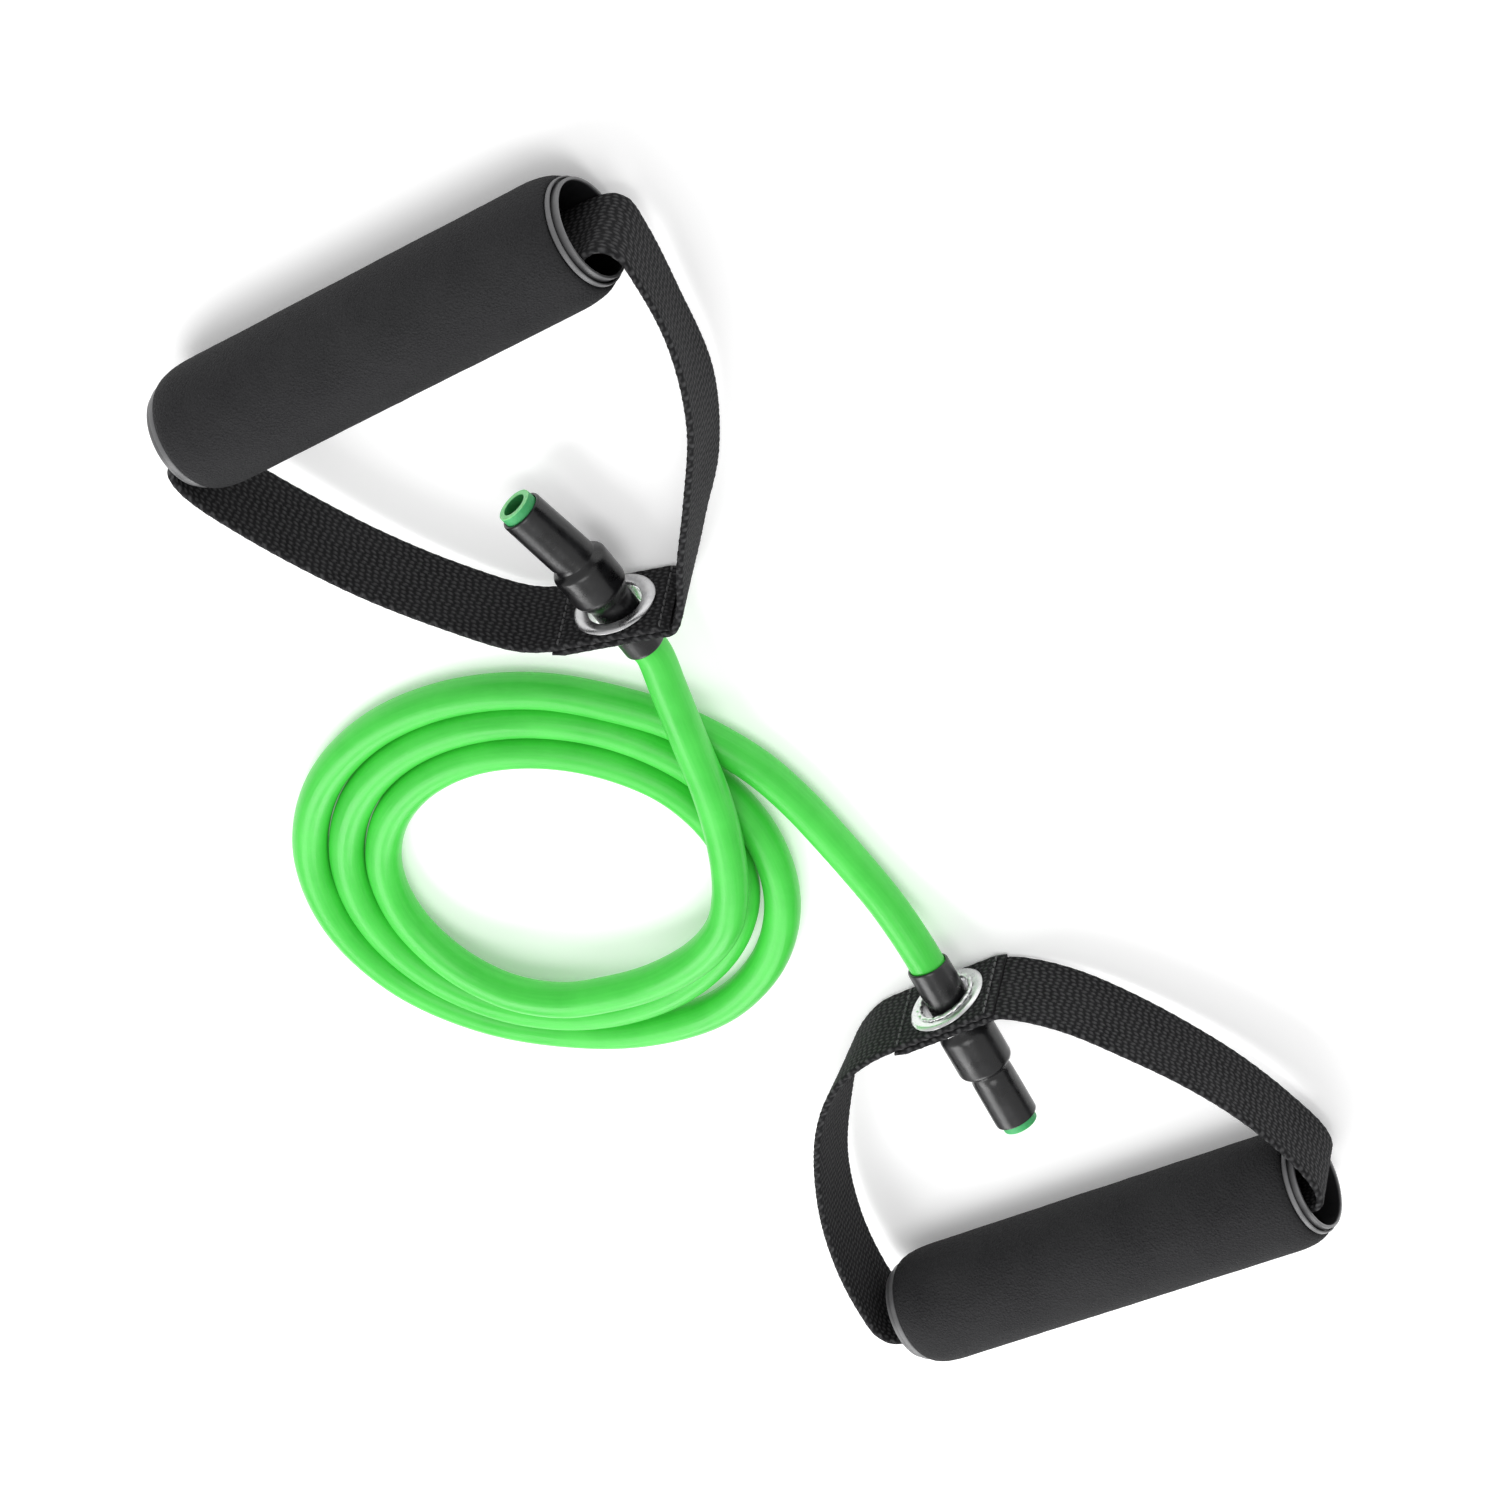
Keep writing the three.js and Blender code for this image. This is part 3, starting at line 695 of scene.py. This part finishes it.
def add_ring(tag, side, turn):
    """A low outer rim, a groove, and an inner lip that stands higher."""
    inner = GRIP_HALF + GAP
    rim = inner + RING_RIM
    lip = inner + RING_FLANGE
    back = GRIP_HALF - RING_COLLAR
    outline = [
        (back, HOLE_R), (back, CORE_R), (inner, CORE_R), (inner, RING_R), (rim, RING_R), (rim, GROOVE_OUT),
        (rim - GROOVE_DEPTH, GROOVE_OUT), (rim - GROOVE_DEPTH, GROOVE_IN), (lip, GROOVE_IN), (lip, HOLE_R),
        (lip - 1 * MM, HOLE_R),
    ]
    at = handle_frame(tag) @ Matrix.Rotation(turn, 4, "Z")

    def mark(along, radius):
        """1 in the bore and at the bottom of the groove, where shade is painted; 0 elsewhere."""
        in_bore = (radius < HOLE_R + 0.02 * MM) & (along < lip - 0.3 * MM)
        in_groove = (radius < GROOVE_OUT + 0.01 * MM) & (radius > GROOVE_IN - 0.01 * MM)
        deep = (along < rim - 0.5 * MM) & (along > inner)
        return np.where(in_bore | (in_groove & deep), 1.0, 0.0)

    ring = turned(f"grip_ring_{tag}_{side}", fillet(outline, 0.25 * MM), at, RING_PLASTIC, sides=96,
                  mark=mark)
    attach(ring, f"grip_{tag}")
    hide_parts(f"end_ring_{tag}_{side}")


# ---- Straps ----

def lap_point(tag, along, out):
    """A point on the sewn overlap, in the handle's frame."""
    centre = handle_frame(tag).inverted() @ Vector(JOINTS[f"strap_swivel_{tag}"]["pos_m"])
    turn = math.radians(LAP_TURN[tag])
    x = centre.x + along * math.cos(turn) - out * math.sin(turn)
    y = centre.y + along * math.sin(turn) + out * math.cos(turn)
    return (x, y, 0)


def strap_path(tag):
    """One strip: the overlap's inner layer, right leg, grip, left leg, the overlap's outer layer. Each point
    also holds the lean of the strip there, so that both follow one curve."""
    lap = [share * LAP_HALF for share in (-1, -0.75, -0.25, 0.25, 0.75, 1)]
    inner = [lap_point(tag, along, -LAYER_HALF) for along in lap]
    outer = [lap_point(tag, along, LAYER_HALF) for along in lap]
    through = [(x * MM, 0, 0) for x in (64, 52, 18, -18, -52, -64)]
    right = leaning(RIGHT_LEG[tag], LEAN[tag]["right"][::-1])
    left = leaning(LEFT_LEG[tag], LEAN[tag]["left"])
    return smooth_path([*inner, *right, *through, *left, *outer], WEAVE_STEP)


def leaning(leg, leans):
    """The leg's points, each with its lean in metres."""
    points = np.array(leg)
    along = np.concatenate([[0], np.cumsum(np.linalg.norm(np.diff(points, axis=0), axis=1))])
    quarters = np.linspace(0, along[-1], len(leans))
    return [(x, y, lean * MM) for (x, y), lean in zip(leg, np.interp(along, quarters, leans))]


def weave(across, along, back):
    """Height of the cloth, 0 to 1: rows across the strip, each a line of bumps, half a bump out of step. The
    rows wander a little and the bumps aren't all alike."""
    wander = 0.16 * np.sin(across * 900 + along * 140) + 0.12 * np.sin(across * 2100 - along * 310)
    shift = along + WEAVE_ROW * (0.5 * back + wander)
    row = np.abs(np.sin(math.pi * shift / WEAVE_ROW)) ** 0.7
    bump = 0.5 + 0.5 * np.cos(2 * math.pi * across / WEAVE_RIB + math.pi * np.floor(shift / WEAVE_ROW))
    uneven = 0.9 + 0.1 * np.sin(across * 5300 + along * 3700)
    return row * (0.3 + 0.7 * bump) * uneven


def strap_section():
    """(across, through, share of relief) round the webbing's flat section with rounded selvages."""
    half = WEB_WIDTH / 2
    edge = WEB_THICK / 2
    flat = np.linspace(-half + edge, half - edge, 50)
    selvage = [(half - edge + edge * math.sin(a), edge * math.cos(a), 0.6) for a in np.radians((35, 90, 145))]
    section = [(x, edge, 1) for x in flat]
    section += selvage
    section += [(x, -edge, 1) for x in flat[::-1]]
    section += [(-x, -y, share) for x, y, share in selvage]
    return np.array(section)


def add_webbing(tag):
    curve = strap_path(tag)
    lean = curve[:, 2].copy()
    path = curve * (1, 1, 0)
    tangents = tangents_of(path)
    out = np.stack([-tangents[:, 1], tangents[:, 0], np.zeros(len(path))], axis=1)
    section = strap_section()
    along = np.linspace(0, path_length(path), len(path))
    across, through, share = section.T
    height = weave(across[None, :] + WEB_WIDTH, along[:, None], (through < 0)[None, :])
    reach = through[None, :] + np.sign(through)[None, :] * WEAVE_RELIEF * share[None, :] * height
    # The cut ends are pressed thin, on to the layer they are sewn to.
    from_start = np.clip(along / CUT_TAPER, 0, 1)
    from_end = np.clip((along[-1] - along) / CUT_TAPER, 0, 1)
    reach = reach * (CUT_THIN + (1 - CUT_THIN) * np.minimum(from_start, from_end))[:, None]
    pressed = (1 - CUT_THIN) * WEB_THICK / 2 * ((1 - from_start) - (1 - from_end))
    outwards = reach + pressed[:, None] + lean[:, None] * across[None, :] / (WEB_WIDTH / 2)
    upright = np.array((0, 0, 1.0))
    rings = path[:, None, :] + outwards[..., None] * out[:, None, :] + across[None, :, None] * upright
    around = np.concatenate([[0], np.cumsum(np.linalg.norm(np.diff(section[:, :2], axis=0), axis=1))])
    strap = skin(f"webbing_{tag}", place(rings, handle_frame(tag)), WEBBING, around, along, marks=height)
    punch_hole(strap, tag)
    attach(strap, f"strap_{tag}")
    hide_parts(f"webbing_strap_{tag}")


def punch_hole(strap, tag):
    """The hole that the grommet's barrel goes through."""
    reach = 6 * MM
    radius = GROMMET_HOLE + 0.9 * MM
    outline = [(-reach, 0.01 * MM), (-reach, radius), (reach, radius), (reach, 0.01 * MM)]
    punch = turned("punch", outline, grommet_frame(tag), WEBBING, sides=48)
    cut = strap.modifiers.new("hole", "BOOLEAN")
    cut.operation = "DIFFERENCE"
    cut.solver = "MANIFOLD"
    cut.object = punch
    apply_modifiers(strap)
    bpy.data.objects.remove(punch)


def apply_modifiers(piece):
    """Leaves the piece with the shape that its modifiers made."""
    graph = bpy.context.evaluated_depsgraph_get()
    shaped = bpy.data.meshes.new_from_object(piece.evaluated_get(graph))
    piece.modifiers.clear()
    old = piece.data
    piece.data = shaped
    bpy.data.meshes.remove(old)


def stitch(centre, along, out):
    """Rings of one lockstitch: a short rounded bar that dips into the cloth at both ends."""
    side = np.cross(along, out)
    angle = np.linspace(0, 2 * math.pi, 8, endpoint=False)[:, None]
    rings = []
    for share in np.linspace(-1, 1, 7):
        thick = THREAD_R * max(0.15, math.sqrt(max(0, 1 - share ** 4)))
        spot = centre + along * share * STITCH_LENGTH / 2 + out * THREAD_R * (0.5 - 1.2 * share ** 4)
        rings.append(spot + thick * (np.cos(angle) * out + np.sin(angle) * side))
    return np.array(rings)


def add_stitching(tag):
    """A row of stitches across the webbing at each end of the overlap, on both faces."""
    at = grommet_frame(tag)
    face = LAYER_HALF + WEB_THICK / 2 + 0.1 * MM
    verts, faces = [], []
    for row in (-STITCH_ROW, STITCH_ROW):
        for side in (-1, 1):
            for step in range(-STITCHES_BESIDE, STITCHES_BESIDE + 1):
                centre = np.array((side * face, row, step * STITCH_PITCH))
                rings = stitch(centre, np.array((0, 0, 1.0)), np.array((side, 0, 0.0)))
                first = len(verts)
                count, size, _ = rings.shape
                verts += rings.reshape(-1, 3).tolist()
                for i in range(count - 1):
                    for j in range(size):
                        k = (j + 1) % size
                        faces.append([first + i * size + j, first + i * size + k,
                                      first + (i + 1) * size + k, first + (i + 1) * size + j])
                faces.append([first + j for j in range(size)])
                faces.append([first + (count - 1) * size + j for j in range(size)])
    mesh = bpy.data.meshes.new(f"stitching_{tag}")
    mesh.from_pydata(place(np.array(verts), at).tolist(), [], faces)
    mesh.uv_layers.new(name="UVMap")
    piece = finish_mesh(f"stitching_{tag}", mesh, THREAD)
    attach(piece, f"strap_{tag}")


def crimp(along, radius, angle):
    """The barrel's rolled end splits into petals where it was crimped."""
    face = LAYER_HALF + WEB_THICK / 2
    on_curl = np.clip((along - face - 0.7 * MM) / (0.7 * MM), 0, 1)
    petal = np.abs(np.sin(9 * angle)) ** 0.5
    return along - on_curl * 0.35 * MM * (1 - petal), radius + on_curl * 0.3 * MM * (petal - 0.5)


def add_grommet(tag):
    at = grommet_frame(tag)
    face = LAYER_HALF + WEB_THICK / 2 + 0.25 * MM
    barrel = GROMMET_HOLE + BARREL_WALL
    front = [(-face - 0.5 * MM, GROMMET_HOLE), (-face - CROWN, GROMMET_HOLE + 1.1 * MM),
             (-face - CROWN, GROMMET_R - 1.4 * MM), (-face, GROMMET_R), (-face, barrel),
             (face + 1.1 * MM, barrel), (face + 1.1 * MM, barrel + 1.0 * MM),
             (face + 1.75 * MM, barrel + 0.6 * MM), (face + 1.7 * MM, GROMMET_HOLE + 0.2 * MM),
             (face + 0.8 * MM, GROMMET_HOLE)]
    piece = turned(f"grommet_{tag}", fillet(front, 0.7 * MM, 4), at, NICKEL, sides=144, shape=crimp)
    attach(piece, f"strap_{tag}")
    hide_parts(f"grommet_front_{tag}")
    back = [(face, barrel + 0.2 * MM), (face + 0.9 * MM, barrel + 0.2 * MM),
            (face + 0.9 * MM, barrel + 1.2 * MM), (face + 0.8 * MM, GROMMET_R - 0.8 * MM),
            (face + 0.1 * MM, GROMMET_R), (face, GROMMET_R - 0.1 * MM)]
    washer = turned(f"grommet_washer_{tag}", fillet(back, 0.4 * MM, 4), at, NICKEL, sides=96)
    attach(washer, f"strap_{tag}")
    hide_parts(f"grommet_back_{tag}")


# ---- Stage ----

def add_floor():
    look = Look("pale_floor", (0.93, 0.93, 0.93), 0.6, Specular_IOR_Level=0.2, Emission_Color=(1, 1, 1, 1),
                Emission_Strength=0.22)
    mottle = look.noise(look.coordinates("Object", (1, 1, 1)), 6.0)
    pale = look.blend(look.ramp(mottle, 0.0, 1.0), (0.925, 0.925, 0.925), (0.935, 0.935, 0.935))
    look.join(pale, "Base Color")
    half = 4.0
    corners = [(-half, -half, 0), (half, -half, 0), (half, half, 0), (-half, half, 0)]
    mesh = bpy.data.meshes.new("floor")
    mesh.from_pydata(corners, [], [(0, 1, 2, 3)])
    mesh.materials.append(look.material)
    floor = bpy.data.objects.new("floor", mesh)
    floor.location.z = -0.0003
    bpy.context.scene.collection.objects.link(floor)


def add_light(name, place_at, aim, size, power):
    data = bpy.data.lights.new(name, "AREA")
    data.shape = "RECTANGLE"
    data.size, data.size_y = size
    data.energy = power
    light = bpy.data.objects.new(name, data)
    light.location = place_at
    light.rotation_mode = "QUATERNION"
    light.rotation_quaternion = (Vector(aim) - Vector(place_at)).to_track_quat("-Z", "Y")
    bpy.context.scene.collection.objects.link(light)


def add_studio():
    world = bpy.data.worlds.new("studio")
    world.use_nodes = True
    world.node_tree.nodes["Background"].inputs["Color"].default_value = (1, 1, 1, 1)
    world.node_tree.nodes["Background"].inputs["Strength"].default_value = 0.68
    bpy.context.scene.world = world
    bpy.context.scene.view_settings.view_transform = "Standard"
    middle = (-0.01, 0.0, 0.0)
    add_light("key", (-0.5, -0.9, 1.1), middle, (0.8, 0.8), 10)
    add_light("top", (0.1, 0.3, 1.4), middle, (0.9, 0.7), 6)
    add_light("fill", (0.25, -0.85, 0.5), (0.12, -0.13, 0.0), (0.5, 0.4), 3)


# ---- Build ----

band, centre_line = add_band()
on_band = []
for tag in TAGS:
    on_band += [add_sleeve(tag), add_tube_tip(tag), frame["nodes"][f"retaining_plug_{tag}"]]
    add_foam(tag)
    add_ring(tag, "right", 0)
    add_ring(tag, "left", math.pi)
    add_webbing(tag)
    add_stitching(tag)
    add_grommet(tag)
    for node in (f"core_tube_{tag}", f"retaining_plug_{tag}"):
        frame["nodes"][node].data.materials.clear()
        frame["nodes"][node].data.materials.append(DARK_PLASTIC)

add_floor()
add_studio()
